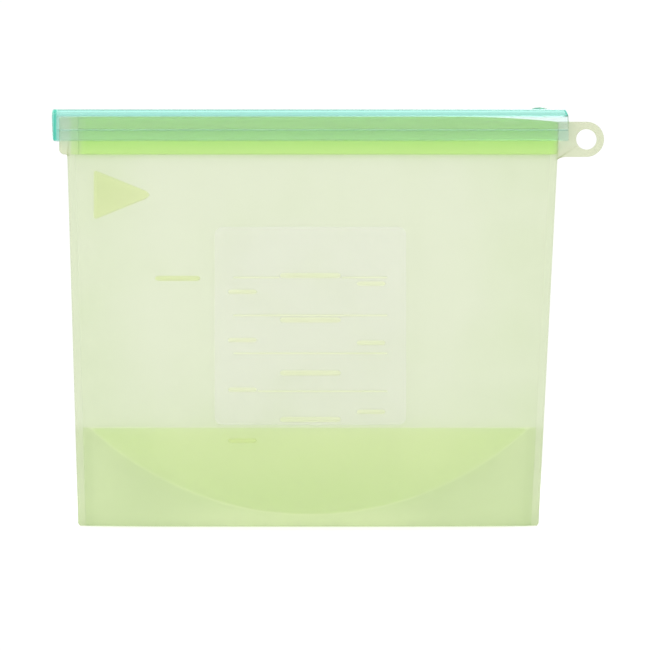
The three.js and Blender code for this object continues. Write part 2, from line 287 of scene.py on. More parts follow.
def stepped(tree, value, start, end, share):
    """0 where the value is at start, the given share where it is at end, and a smooth step between."""
    step = node(tree, "MapRange", value, start, end, **SMOOTH_STEP)
    return node(tree, "Math", step, share, operation="MULTIPLY")


def distance(tree, value, place):
    """How far a value lies from a place on either side: their difference without its sign."""
    gap = node(tree, "Math", value, place, operation="SUBTRACT")
    return node(tree, "Math", gap, operation="ABSOLUTE")


print("deep rim green in linear light:", linear("#b8e08a"))

# %% [markdown]
# A silicone finish is described by two tints: what one plain surface does to light, and what one surface
# does where the sheet is at its deepest, such as along a bonded line. A function for each piece says where
# it is deep, as a share from 0 to 1. Slow clouds 30 mm wide vary the tint, as the filler in the rubber is
# never perfectly even, and a fine grain 0.6 mm wide gives the satin skin. A moulded satin grain is much
# finer, and is drawn coarser so that it shows. Steps in these functions are smooth Map Range nodes.

# %% Silicone finish
CLOUD_SIZE = 30
GRAIN_SIZE = 0.6
GRAIN_DEPTH = 0.05
SILICONE_IOR = 1.41


def silicone(name, plain, deep, depth=None, clear=0.6, through=0.62, roughness=0.42, cloud=0.35, grain=0.12):
    """A translucent silicone: plain and deep are hex tints of one surface, clear is the share of light
    that goes straight through, and through the share of the rest that is scattered forwards. depth says
    where it is deep, cloud how much the clouds vary that, and grain how strong the grain is."""
    material, tree = new_material(name)
    place = node(tree, "Attribute", output="Vector", attribute_name="place_mm")
    inside = node(tree, "Attribute", output="Fac", attribute_name="inside")
    x, _, z = node(tree, "SeparateXYZ", place, output=None)
    clouds = {"Vector": place, "Scale": 1 / CLOUD_SIZE, "Detail": 3.0}
    share = node(tree, "TexNoise", clouds, output="Fac")
    share = node(tree, "Math", share, 0.5, operation="SUBTRACT")
    share = node(tree, "Math", share, cloud, operation="MULTIPLY")
    if depth is not None:
        share = node(tree, "Math", share, depth(tree, x, z), operation="ADD")
    share = node(tree, "Clamp", share)
    tints = {0: share, 6: linear(plain), 7: linear(deep)}
    tint = node(tree, "Mix", tints, output=2, data_type="RGBA")
    grains = {"Vector": place, "Scale": 1 / GRAIN_SIZE, "Detail": 2.0}
    fine = node(tree, "TexNoise", grains, output="Fac")
    bump = node(tree, "Bump", {"Height": fine, "Strength": grain, "Distance": GRAIN_DEPTH * MM})
    straight = node(tree, "BsdfTransparent", tint)
    scattered = node(tree, "BsdfTranslucent", tint, bump)
    gloss = {"Base Color": tint, "Roughness": roughness, "IOR": SILICONE_IOR, "Normal": bump}
    skin = node(tree, "BsdfPrincipled", gloss)
    body = node(tree, "MixShader", through, skin, scattered)
    whole = node(tree, "MixShader", clear, body, straight)
    nothing = node(tree, "BsdfTransparent")
    shown = node(tree, "MixShader", inside, whole, nothing)
    node(tree, "OutputMaterial", shown, output=None)
    print("silicone finish", name, "plain", plain, "deep", deep)
    return material


# %% [markdown]
# The wall is plain over most of its height. It deepens over the last 3 mm under the rim, where the moulded
# rim runs out into the sheet, and slightly towards the side seams and over its lower part.

# %% Wall finish
UNDER_RIM = (rim_bottom - 3.2, rim_bottom + 1.5)
BESIDE_SEAM = (55, 105)
LOWER_WALL = (80, 40)


def wall_depth(tree, x, z):
    """Deep under the rim, and a little towards the seams and lower down."""
    under_rim = node(tree, "MapRange", z, *UNDER_RIM, **SMOOTH_STEP)
    across = distance(tree, x, float(middle(body_height / 2)))
    beside_seam = stepped(tree, across, *BESIDE_SEAM, 0.14)
    lower = stepped(tree, z, *LOWER_WALL, 0.12)
    both = node(tree, "Math", beside_seam, lower, operation="ADD")
    return node(tree, "Math", under_rim, 0.45, both, operation="MULTIPLY_ADD")


wall_silicone = silicone("satin_silicone_sheet", "#f3f5ed", "#e7efd9", wall_depth)

# %% [markdown]
# Each wall is one sheet on the real bag, held at both seams and free in the middle. When the mouth opens,
# the middle moves with the wall's body and the edges stay with the seams. A blend has one start and one
# end, so each wall is made as a left and a right half that meet at the middle. No blend is set up here,
# and both halves are made at rest.

# %% Walls
PANEL_COLUMNS = 41
PANEL_ROWS = 61


def half_grid(side_name, bottom, top, rows, columns):
    """x and z grids of half a wall: rows at even heights, and columns from seam to middle line."""
    z = np.repeat(spread(bottom, top, rows)[:, None], columns, axis=1)
    share = spread(-1, 0, columns) if side_name == "left" else spread(0, 1, columns)
    return middle(z) + share * wall_half_width(z), z


def bend_from_seam(piece):
    """Bakes the piece's placement into its points; no blend from the seam is set up here."""
    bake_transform(piece)


def finish_piece(piece, material, slot, *nodes):
    """Gives a piece its material and hides the CAD nodes that it stands for. The slot is not used."""
    piece.data.materials.append(material)
    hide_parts(*nodes)


for side, face in ((FRONT, "front"), (BACK, "back")):
    for side_name in ("left", "right"):
        x, z = half_grid(side_name, fold_height, rim_bottom, PANEL_ROWS, PANEL_COLUMNS)
        piece = sheet_piece(
            f"{face}_wall_{side_name}",
            x,
            z,
            wall_face(x, z),
            wall_face(x, z) - WALL,
            side,
            joins=["left", "right", "top", "bottom"],
        )
        finish_piece(piece, wall_silicone, "silicone_sheet", f"{face}_panel")
        bend_from_seam(piece)

# %% [markdown]
# The foot is the wall's lower strip, called the skirt here. A gusset sheet is folded up between the two
# skirts, and its edge is bonded to them along an arc that dips nearly to the base. Below that arc the
# skirt carries the bonded margin of the gusset, so it is thicker and looks duller there.

# %% Arc of the bond
GUSSET_WALL = 0.7
GUSSET_GAP = 0.3
ARC_LOWEST = 5.2
ARC_END_INSET = 3.15
fold_top = box_mm("front_skirt")[1][2]
arc_drop = fold_top - ARC_LOWEST
arc_half_span = float(wall_half_width(fold_height)) - GUSSET_GAP - ARC_END_INSET
arc_radius = (arc_half_span**2 + arc_drop**2) / (2 * arc_drop)
arc_centre_x = float(middle(fold_height))
arc_centre_z = ARC_LOWEST + arc_radius


def arc_height(x):
    """Height of the bonded arc: the lower half of a circle through both ends of the fold and its dip."""
    return arc_centre_z - np.sqrt(arc_radius**2 - (x - arc_centre_x) ** 2)


def outside_arc(x, z):
    """How far a point lies outside the circle, in millimetres; below the arc it is positive."""
    return np.hypot(x - arc_centre_x, z - arc_centre_z) - arc_radius


arc_top = arc_height(arc_centre_x + arc_half_span)
print("arc radius", arc_radius, "from", arc_height(arc_centre_x), "up to", arc_top)

# %% Skirt finish
SIDE_STRIP = 4.1
ARC_STEP = (-0.3, 0.9)
STRIP_STEP = (-0.8, 0.9)
BASE_STEP = (1.4, 0.2)


def skirt_depth(tree, x, z):
    """Deeper below the arc, on the bonded side strips and along the base, and painted lighter low in the
    middle, as painted light against the shade near the floor.
    """
    sideways = node(tree, "Math", x, arc_centre_x, operation="SUBTRACT")
    upwards = node(tree, "Math", z, arc_centre_z, operation="SUBTRACT")
    first_square = node(tree, "Math", sideways, sideways, operation="MULTIPLY")
    second_square = node(tree, "Math", upwards, upwards, operation="MULTIPLY")
    beyond = node(tree, "Math", first_square, second_square, operation="ADD")
    beyond = node(tree, "Math", beyond, operation="SQRT")
    beyond = node(tree, "Math", beyond, arc_radius, operation="SUBTRACT")
    below_arc = stepped(tree, beyond, *ARC_STEP, 0.42)
    edge = float(wall_half_width(0))
    slope = float(wall_half_width(fold_height) - wall_half_width(0)) / fold_height
    strip_edge = node(tree, "Math", z, slope, edge - SIDE_STRIP, operation="MULTIPLY_ADD")
    lean = float(middle(1.0) - middle(0.0))
    centre_line = node(tree, "Math", z, lean, float(middle(0.0)), operation="MULTIPLY_ADD")
    across = distance(tree, x, centre_line)
    strip = node(tree, "Math", across, strip_edge, operation="SUBTRACT")
    strip = stepped(tree, strip, *STRIP_STEP, 0.06)
    base = stepped(tree, z, *BASE_STEP, 0.15)
    # Painted light: the low middle of the foot is painted lighter, to cancel the shade that falls there near
    # the floor.
    painted_light_low_middle = node(tree, "MapRange", across, 80, 20, **SMOOTH_STEP)
    near_base = node(tree, "MapRange", z, 12, 3, **SMOOTH_STEP)
    painted_light_low_middle = node(tree, "Math", painted_light_low_middle, near_base, operation="MULTIPLY")
    total = node(tree, "Math", below_arc, strip, operation="ADD")
    total = node(tree, "Math", total, base, operation="ADD")
    return node(tree, "Math", painted_light_low_middle, -0.2, total, operation="MULTIPLY_ADD")


skirt_silicone = silicone("satin_silicone_foot", "#f7faeb", "#dde6cf", skirt_depth, cloud=0.2)

# %% Skirts
SKIRT_ROWS = 45
SKIRT_COLUMNS = 76
MARGIN_STEP = 1.2
THINNEST = 0.02

for side, face in ((FRONT, "front"), (BACK, "back")):
    for side_name in ("left", "right"):
        x, z = half_grid(side_name, 0, fold_height, SKIRT_ROWS, SKIRT_COLUMNS)
        outer = wall_face(x, z)
        margin = GUSSET_WALL * smooth(outside_arc(x, z) / MARGIN_STEP + 0.5)
        room = np.maximum(outer - WALL - margin, THINNEST)
        piece = sheet_piece(
            f"{face}_foot_{side_name}", x, z, outer, room, side, joins=["left", "right", "top"]
        )
        finish_piece(piece, skirt_silicone, "silicone_sheet", f"{face}_skirt")
        bend_from_seam(piece)

# %% [markdown]
# The gusset is one sheet folded upwards. Its lower edge follows the arc on each skirt, and from there it
# leans in to the fold, where front and back halves nearly touch. As the foot opens, the arc edges go with
# the skirts while the fold stays in place; each half is made here at rest, with no blend set up.

# %% Gusset finish and halves
def gusset_depth(tree, x, z):
    """Deeper along the last 2.6 mm under the fold, towards the arc's dip and towards both sides."""
    fold = stepped(tree, z, fold_top - 2.6, fold_top - 0.6, 0.35)
    dip = stepped(tree, z, 34, 8, 0.55)
    across = distance(tree, x, arc_centre_x)
    sides = node(tree, "MapRange", across, 50, 95, **SMOOTH_STEP)
    sides = node(tree, "Math", sides, 0.5, fold, operation="MULTIPLY_ADD")
    return node(tree, "Math", sides, dip, operation="ADD")


gusset_silicone = silicone("satin_silicone_gusset", "#f4f8ea", "#eaf3d9", gusset_depth, cloud=0.25)
GUSSET_ROWS = 31
GUSSET_COLUMNS = 121
FOLD_CAP = 0.9
CLEARANCE = 0.05
EDGE_MARGIN = 1.2
gusset_half = arc_half_span - EDGE_MARGIN

for side, face in ((FRONT, "front"), (BACK, "back")):
    share = np.repeat(smooth(spread(0, 1, GUSSET_ROWS))[:, None], GUSSET_COLUMNS, axis=1)
    x = np.repeat(spread(-1, 1, GUSSET_COLUMNS)[None, :], GUSSET_ROWS, axis=0) * gusset_half + arc_centre_x
    low = arc_height(x)
    z = mix(low, fold_top, share)
    leaning = mix(wall_face(x, z) - WALL - CLEARANCE, GUSSET_WALL + CLEARANCE, smooth(share))
    into_cap = np.clip((z - (fold_top - FOLD_CAP)) / FOLD_CAP, 0, 1)
    outer = leaning - GUSSET_WALL * 0.85 * (1 - np.sqrt(1 - into_cap**2 * 0.98))
    inner = np.minimum(np.maximum(leaning - GUSSET_WALL, THINNEST), outer - CLEARANCE)
    piece = sheet_piece(f"gusset_{face}", x, z, outer, inner, side, joins=["bottom"])
    finish_piece(piece, gusset_silicone, "silicone_gusset", f"gusset_{face}_half")
    width = 2 * arc_half_span
    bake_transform(piece)

# %% [markdown]
# Both walls are fused along the sides into one strip. It is a sheet of its own here: its outer edge is
# rounded like a bead of rubber trimmed after moulding, and its lower corner is rounded off.

# %% Side seams
def seam_depth(tree, x, z):
    """Deeper beside the gusset, where more layers are fused, towards the base and just under the rim."""
    foot = stepped(tree, z, fold_height + 3, fold_height - 3, 0.6)
    base = stepped(tree, z, 20, 0, 0.3)
    under_rim = node(tree, "MapRange", z, *UNDER_RIM, **SMOOTH_STEP)
    both = node(tree, "Math", foot, base, operation="ADD")
    return node(tree, "Math", under_rim, 0.35, both, operation="MULTIPLY_ADD")


seam_silicone = silicone("fused_silicone_seam", "#e6ebda", "#dce4c9", seam_depth, clear=0.5, cloud=0.2)
SEAM_ROWS = 165
SEAM_COLUMNS = 13
SEAM_CORNER = 0.8

for side_name, edge, inward in (("left", body_left, 1), ("right", body_right, -1)):
    z = np.repeat(spread(0, rim_bottom, SEAM_ROWS)[:, None], SEAM_COLUMNS, axis=1)
    into_corner = np.clip(1 - z / SEAM_CORNER, 0, 1)
    inset = SEAM_CORNER * (1 - np.sqrt(1 - into_corner**2 * 0.98))
    share = spread(0, 1, SEAM_COLUMNS)[None, :] ** 1.6
    share = share if inward > 0 else share[:, ::-1]
    x = edge(z) + inward * mix(inset, SEAM_WIDTH, share)
    from_edge = np.clip(share * SEAM_WIDTH / 1.1, 0, 1)
    half = (SPACE_AT_SEAM + WALL) * np.maximum(np.sqrt(1 - (1 - from_edge) ** 2), 0.12)
    joined = "right" if inward > 0 else "left"
    piece = sheet_piece(f"{side_name}_seam", x, z, half, -half, FRONT, joins=[joined, "top"])
    finish_piece(piece, seam_silicone, "silicone_sheet", f"{side_name}_side_seam")
    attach(piece, "bag_seams")
    print(piece.name, len(piece.data.polygons), "faces")

# %% [markdown]
# The rim is a thick band with a narrow neck and a bead on top that the clip's lips hold. The front half
# carries a small rib and the back half the groove it presses into, which is what seals the bag. The shape
# is one outline in Y and Z carried along X. Both ends get thinner over the last 4 mm, so that the clip can
# be threaded on, and over the last 50 mm at the right the bead droops.

# %% Rim outline
rim_low, rim_high = box_mm("back_rim")
RIM_HALF = 0.15
RIM_THICKNESS = 1.7
RIB_HALF = 0.45
NOTCH_CLEARANCE = 0.3
bead_bottom = rim_high[2] - 5.4
rib_middle = rim_high[2] - 2.7


def bezier(start, corner, end, count):
    """Points on the quadratic Bezier curve from start to end that leans towards the corner."""
    share = spread(0, 1, count)[:, None]
    return (1 - share) ** 2 * start + 2 * share * (1 - share) * corner + share**2 * end


def rounded(before, here, after, radius, count):
    """A corner made round: the curve between the points that lie radius away from it along its sides."""
    start = here + (before - here) / np.linalg.norm(before - here) * radius
    end = here + (after - here) / np.linalg.norm(after - here) * radius
    return bezier(start, here, end, count)


def rim_outline(is_front):
    """Y (away from the middle plane) and Z of one rim half, listed round its section."""
    reach = RIM_HALF - 0.9 if is_front else RIM_HALF + 0.9 + RIM_HALF
    half = RIB_HALF if is_front else RIB_HALF + NOTCH_CLEARANCE
    outer, bead = RIM_HALF + RIM_THICKNESS, rim_high[1]
    corners = [
        (0.03, rim_bottom),
        (outer, rim_bottom),
        (outer, bead_bottom),
        (bead, bead_bottom),
        (bead, rim_high[2] - 1.2),
        (bead - 1.2, rim_high[2]),
        (0.03, rim_high[2]),
        (0.03, rib_middle + half),
        (reach, rib_middle + half),
        (reach, rib_middle - half),
        (0.03, rib_middle - half),
    ]
    radii = [0.1, 0.5, 0.35, 0.35, 0.5, 0.5, 0.2, 0.1, 0.2, 0.2, 0.1]
    corners = np.array(corners, float)
    following = np.roll(corners, -1, axis=0)
    curves = [rounded(corners[i - 1], corners[i], following[i], radii[i], 5) for i in range(len(radii))]
    return np.concatenate(curves)


print("rim outline has", len(rim_outline(True)), "points")

# %% [markdown]
# Carrying an outline along X gives one ring of points for each station, and quads between neighbouring
# rings. A flat face closes each end.

# %% Carried outlines
def carried(name, rings, is_turned, joins=()):
    """A closed solid from rings, an array of stations by outline points by x, y and z. The outline runs
    anticlockwise seen from +X unless is_turned. joins says which ends lie inside: first or last."""
    stations, count, _ = rings.shape
    here = np.arange(count)
    after = np.roll(here, -1)
    first = np.arange(stations - 1)[:, None] * count
    quads = faces_of(first + here, first + count + here, first + count + after, first + after)
    end_cap = (stations - 1) * count + here[::-1]
    faces = quads + [here.tolist(), end_cap.tolist()]
    if not is_turned:
        faces = [face[::-1] for face in faces]
    ends = {"first": len(quads), "last": len(quads) + 1}
    return new_piece(name, rings.reshape(-1, 3), faces, [ends[end] for end in joins])


def rim_depth(tree, x, z):
    """Plain over the last millimetres at both ends, full along the rest, and a little plainer low down."""
    left = node(tree, "MapRange", x, rim_low[0] - 2, rim_low[0] + 3, **SMOOTH_STEP)
    right = node(tree, "MapRange", x, rim_high[0] + 1.5, rim_high[0] - 2.5, **SMOOTH_STEP)
    low = node(tree, "MapRange", z, rim_bottom + 7, rim_bottom, **SMOOTH_STEP)
    low = node(tree, "Math", low, -0.12, 0.95, operation="MULTIPLY_ADD")
    ends = node(tree, "Math", left, right, operation="MULTIPLY")
    return node(tree, "Math", ends, low, operation="MULTIPLY")


rim_silicone = silicone("thick_moulded_silicone", "#eef3e2", "#eaf7d0", rim_depth, clear=0.62, cloud=0.1)
RIM_OVERLAP = 0.1
RIM_STATIONS = 73
THIN_LENGTH = 4
DROOP = 2.4
DROOP_LENGTH = 50

for side, face in ((FRONT, "front"), (BACK, "back")):
    outline = rim_outline(face == "front")
    centre = float(middle(body_height))
    halves = (("left", rim_low[0] - RIM_OVERLAP, centre), ("right", centre, rim_high[0]))
    for side_name, from_x, to_x in halves:
        along = mix(from_x, to_x, spread(0, 1, RIM_STATIONS))
        to_end = np.minimum(along - rim_low[0] + RIM_OVERLAP, rim_high[0] - along)[:, None]
        thin = mix(0.45, 1, smooth(to_end / THIN_LENGTH))
        droop = DROOP * (np.clip(1 - (rim_high[0] - along) / DROOP_LENGTH, 0, 1) ** 2)[:, None]
        lift = np.clip((outline[:, 1] - bead_bottom) / (rim_high[2] - bead_bottom), 0, 1)
        y = side * (np.maximum(outline[:, 0], 0) * thin + np.minimum(outline[:, 0], 0))
        z = outline[:, 1] - droop * lift
        x = np.repeat(along[:, None], len(outline), axis=1)
        rings = np.stack([x, np.broadcast_to(y, x.shape), z], axis=-1)
        joined = "last" if side_name == "left" else "first"
        piece = carried(f"{face}_rim_{side_name}", rings, side == FRONT, joins=[joined])
        finish_piece(piece, rim_silicone, "thick_silicone_rim", f"{face}_rim")
        bend_from_seam(piece)
        print(piece.name, len(piece.data.polygons), "faces")

# %% [markdown]
# The flange at the left and the hanging tab at the right are flat plates of the same rubber with soft
# edges. A plate is an outline and, for the tab, a hole. Its surface is rings between the two: over the
# front face, round the edge by quarter circles, over the back face, and back round the edge of the hole.

# %% Plates
EVEN_SHARE = 0.3


def plate_piece(name, outline, centre, hole_radius, thickness, softness):
    """A flat plate in X and Z round a centre. Ring k takes a share of the way from the hole, or from the
    centre if there is none, to the outline, and a height from the profile of a soft-edged section."""
    count = len(outline)
    outward = outline - centre
    turned = np.unwrap(np.arctan2(outward[:, 1], outward[:, 0]))
    even = turned[0] + 2 * math.pi * np.arange(count) / count
    angle = mix(np.maximum.accumulate(turned), even, EVEN_SHARE)
    towards = np.stack([np.cos(angle), np.sin(angle)], axis=-1)
    rim_of_hole = centre + hole_radius * towards
    along = np.roll(outline, -1, axis=0) - np.roll(outline, 1, axis=0)
    normal = np.stack([along[:, 1], -along[:, 0]], axis=-1)
    normal = normal / np.linalg.norm(normal, axis=1, keepdims=True)
    turn = spread(0, math.pi / 2, 6)
    half = thickness / 2
    soft = softness * (1 - np.sin(turn))
    heights = half - softness + softness * np.cos(turn)
    outer_steps = [(outline - normal * soft[k], heights[k]) for k in range(6)]
    rings = [(mix(rim_of_hole, outline - normal * softness, share), half) for share in (0.35, 0.65)]
    hole_steps = []
    if hole_radius:
        hole_steps = [(rim_of_hole + towards * soft[k], heights[k]) for k in range(5, -1, -1)]
    front = hole_steps + rings + outer_steps
    back = [(ring, -height) for ring, height in front[::-1]]
    layers = front + back
    flat = [np.stack([ring[:, 0], np.full(count, -height), ring[:, 1]], axis=-1) for ring, height in layers]
    points = np.concatenate(flat)
    here = np.arange(count)
    after = np.roll(here, -1)
    faces = []
    for k in range(len(layers) - (0 if hole_radius else 1)):
        low, high = k * count, (k + 1) % len(layers) * count
        faces += np.stack([low + here, high + here, high + after, low + after], axis=-1).tolist()
    if not hole_radius:
        poles = np.array([[centre[0], -half, centre[1]], [centre[0], half, centre[1]]])
        points = np.concatenate([points, poles])
        first_pole, last_pole = len(points) - 2, len(points) - 1
        faces += np.stack([np.full(count, first_pole), here, after], axis=-1).tolist()
        last = (len(layers) - 1) * count
        faces += np.stack([last + here, np.full(count, last_pole), last + after], axis=-1).tolist()
    return new_piece(name, points, faces)


def flange_depth(tree, x, z):
    """Greener from 4.4 to 2.4 mm before the rim, where the rim's rubber runs into the flange."""
    return stepped(tree, x, rim_low[0] - 4.4, rim_low[0] - 2.4, 0.9)


plate_silicone = silicone("moulded_silicone_plate", "#e6e9d8", "#dce0c4", None, clear=0.5, cloud=0.5)
flange_silicone = silicone(
    "moulded_silicone_flange", "#e8ebd9", "#deedc3", flange_depth, clear=0.5, cloud=0.1
)

# %% Flange and tab
def arc_points(centre, radius, start, end, count):
    """Points on a circle in X and Z from one angle to another, in degrees."""
    angle = np.radians(spread(start, end, count))
    return np.array(centre) + radius * np.stack([np.cos(angle), np.sin(angle)], axis=-1)


def line_points(first, last, count):
    """Points on a straight line, without the last one."""
    share = spread(0, 1, count + 1)[:-1, None]
    return np.array(first) + (np.array(last) - np.array(first)) * share


FLANGE_THICKNESS = 1.8
FLANGE_SOFTNESS = 0.35
FLANGE_CORNER = 2.2
flange_low, flange_high = box_mm("left_rim_flange")
x0, x1, z0, z1 = flange_low[0], rim_low[0], flange_low[2], flange_high[2]
edge = float(body_left(z0))
fillet_start, fillet_corner = np.array([edge - 1.2, z0]), np.array([edge, z0])
fillet_end = np.array([edge + 0.1, z0 - 1.0])
flange_outline = np.concatenate(
    [
        line_points((x1, z0), (x1, z1), 16),
        line_points((x1, z1), (x0 + 1, z1), 10),
        arc_points((x0 + 1, z1 - 1), 1, 90, 180, 6)[:-1],
        line_points((x0, z1 - 1), (x0, z0 + FLANGE_CORNER), 12),
        arc_points((x0 + FLANGE_CORNER, z0 + FLANGE_CORNER), FLANGE_CORNER, 180, 270, 8)[:-1],
        line_points((x0 + FLANGE_CORNER, z0), fillet_start, 3),
        bezier(fillet_start, fillet_corner, fillet_end, 9)[:-1],
        line_points(fillet_end, (edge + 0.8, z0), 3),
        line_points((edge + 0.8, z0), (x1, z0), 5),
    ]
)
flange_centre = np.array([(x0 + x1) / 2, (z0 + z1) / 2])
piece = plate_piece("left_flange", flange_outline, flange_centre, 0, FLANGE_THICKNESS, FLANGE_SOFTNESS)
finish_piece(piece, flange_silicone, "silicone_sheet", "left_rim_flange")
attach(piece, "bag_seams")

tab_low, tab_high = box_mm("hang_tab")
TAB_FILLET = 1.4
TAB_THICKNESS = 2.0
TAB_SOFTNESS = 0.45
HOLE_RADIUS = 4.5
low, high = tab_low[2] + TAB_FILLET, tab_high[2]
radius = (high - low) / 2
eye = np.array([tab_high[0] - radius, low + radius])
root = rim_high[0]
foot = np.array([float(body_right(low - TAB_FILLET)) - 0.4, low - TAB_FILLET])
run_out_end = np.array([foot[0] + 4.6, low])
tab_outline = np.concatenate(
    [
        bezier(foot, np.array([foot[0] + 1.9, low]), run_out_end, 12)[:-1],
        line_points(run_out_end, tuple(eye - (0, radius)), 8),
        arc_points(eye, radius, -90, 90, 61),
        line_points((eye[0], high), (root, high), 14)[1:],
        line_points((root, high), foot, 18),
    ]
)
piece = plate_piece("hanging_tab", tab_outline, eye, HOLE_RADIUS, TAB_THICKNESS, TAB_SOFTNESS)
finish_piece(piece, plate_silicone, "silicone_sheet", "hang_tab")
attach(piece, "bag_seams")
print("flange and tab made; the eye of the tab is at", eye)

# %% [markdown]
# The marks are moulded with the front wall. The writing patch is a thin frosted layer that takes a pen;
# the scale on it is a set of low ridges with soft ends, and an arrow shows which way the clip closes.
# Each mark is a small sheet that follows the wall, with its height falling off towards its edges.

# %% Marks finish
mark_silicone = silicone("raised_silicone_mark", "#fcfdf4", "#f5fae6", None, clear=0.66, cloud=0.6)
arrow_silicone = silicone("raised_silicone_arrow", "#f6f9e5", "#eef6d8", None, clear=0.6, cloud=0.6)
frosting = {"clear": 0.72, "through": 0.5, "roughness": 0.9, "cloud": 0.8, "grain": 0.5}
frosted_silicone = silicone("frosted_silicone_patch", "#fbfbfa", "#f8f9f3", None, **frosting)

# %% Patch, arrow and ridges
PATCH_HALF = 41.9
PATCH_THICKNESS = 0.25
MARK_THICKNESS = 0.35
PATCH_CORNER = 3.5


def relief_piece(name, x, z, stands_on, thickness, soften):
    """A raised mark on the front wall. Its height above what it stands on is the thickness times an
    edge curve: 1 inside, and falling to 0.15 at the four edges over the share given by soften."""
    rows, columns = x.shape
    u = spread(0, 1, columns)[None, :]
    v = spread(0, 1, rows)[:, None]
    edge = np.minimum(smooth(np.minimum(u, 1 - u) / soften[0]), smooth(np.minimum(v, 1 - v) / soften[1]))
    base = wall_face(x, z) + stands_on
    return sheet_piece(name, x, z, base + thickness * mix(0.15, 1, edge), base, FRONT)


patch_low, patch_high = box_mm("writing_panel")
rows = np.concatenate([spread(0, 0.045, 9)[:-1], spread(0.045, 0.955, 47), spread(0.955, 1, 9)[1:]])
z = np.repeat(mix(patch_low[2], patch_high[2], rows)[:, None], 61, axis=1)
into_corner = np.clip(PATCH_CORNER - np.minimum(z - patch_low[2], patch_high[2] - z), 0, PATCH_CORNER)
inset = PATCH_CORNER - np.sqrt(PATCH_CORNER**2 - into_corner**2)
patch_centre = (patch_low[0] + patch_high[0]) / 2
x = patch_centre + spread(-1, 1, 61)[None, :] * (PATCH_HALF - inset)
piece = relief_piece("writing_patch", x, z, 0.01, PATCH_THICKNESS, (0.02, 0.02))
finish_piece(piece, frosted_silicone, "frosted_silicone", "writing_panel")
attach(piece, "front_wall")

arrow_low, arrow_high = box_mm("arrow_mark")
length, height = arrow_high[0] - arrow_low[0], arrow_high[2] - arrow_low[2]
u = spread(0, 1, 49)[None, :]
corner_cut = np.sqrt(np.clip(1 - (1 - np.clip(u / 0.07, 0, 1)) ** 2, 0.02, 1))
tip_cut = np.sqrt(np.clip(1 - ((u - 0.9) / 0.1).clip(0, 1) ** 2, 0.04, 1))
half = (height / 2 * (1 - 0.9 * u) - 1.0 * (1 - corner_cut)) * tip_cut
x = np.repeat(arrow_low[0] + u * length, 25, axis=0)
z = (arrow_low[2] + arrow_high[2]) / 2 + spread(-1, 1, 25)[:, None] * half
piece = relief_piece("arrow", x, z, 0.01, MARK_THICKNESS, (0.03, 0.06))
finish_piece(piece, arrow_silicone, "silicone_marks", "arrow_mark")
bend_from_seam(piece)

RIDGES = ["unit_label", "foot_label", "fill_line_1_left", "fill_line_1_right", "fill_line_2", "fill_line_3"]
RIDGES += ["fill_line_4"] + [f"centre_label_{i}" for i in (1, 2, 3, 4)]
RIDGES += [f"{side_name}_label_{i}" for side_name in ("left", "right") for i in (1, 2, 3)]

for node_name in RIDGES:
    ridge_low, ridge_high = box_mm(node_name)
    length, width = ridge_high[0] - ridge_low[0], ridge_high[2] - ridge_low[2]
    columns = int(length / 0.7) + 9
    u = 0.5 - 0.5 * np.cos(spread(0, math.pi, columns))[None, :]
    from_end = np.minimum(u, 1 - u) * length
    end_cut = np.sqrt(np.clip(1 - (1 - np.clip(from_end / (0.7 * width), 0, 1)) ** 2, 0.06, 1))
    x = np.repeat(ridge_low[0] + u * length, 9, axis=0)
    z = (ridge_low[2] + ridge_high[2]) / 2 + spread(-1, 1, 9)[:, None] * width / 2 * end_cut
    on_wall = node_name in ("unit_label", "foot_label")
    piece = relief_piece(
        f"{node_name}_ridge", x, z, 0.01 if on_wall else PATCH_THICKNESS + 0.02, MARK_THICKNESS, (0.08, 0.4)
    )
    finish_piece(piece, arrow_silicone if on_wall else mark_silicone, "silicone_marks", node_name)
    if node_name == "unit_label":
        bend_from_seam(piece)
    else:
        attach(piece, "front_foot" if node_name == "foot_label" else "front_wall")
print("marks made:", len(RIDGES) + 2)

# %% [markdown]
# The clip is one moulding of clear tinted plastic, a styrene-acrylic by its gloss and its bright cut edges.
# Light that passes through a thin wall is only faintly aqua, and light that travels along inside the
# plastic leaves at the edges as a deep teal. The channel is a closed solid with its true wall thickness, so
# refraction with absorption inside gives part of both. The rest is painted light, a tint by place: the web
# and the zone beside the end wall are painted aqua, and three edges are painted teal, for light carried
# inside the plastic. A little haze softens it, and rays from lamps pass through a pale tint, because a
# refracting solid would throw too dark a shadow on the rim.

# %% Clip finish
channel_low, channel_high = box_mm("clip_channel")
clip_bottom, clip_top = channel_low[2], channel_high[2]
clip_right = channel_high[0]
web_low = rim_high[2]
END_LINE = channel_low[0] - 0.75
END_CUT = 1.2
LIP_HEIGHT = 4.8
lip_top = clip_bottom + LIP_HEIGHT
FLOW_LINES = (0.01, 0.25, 0.25)
LAMP_TINT = (0.62, 0.8, 0.78, 1)
HAZE_SHARE = 0.05


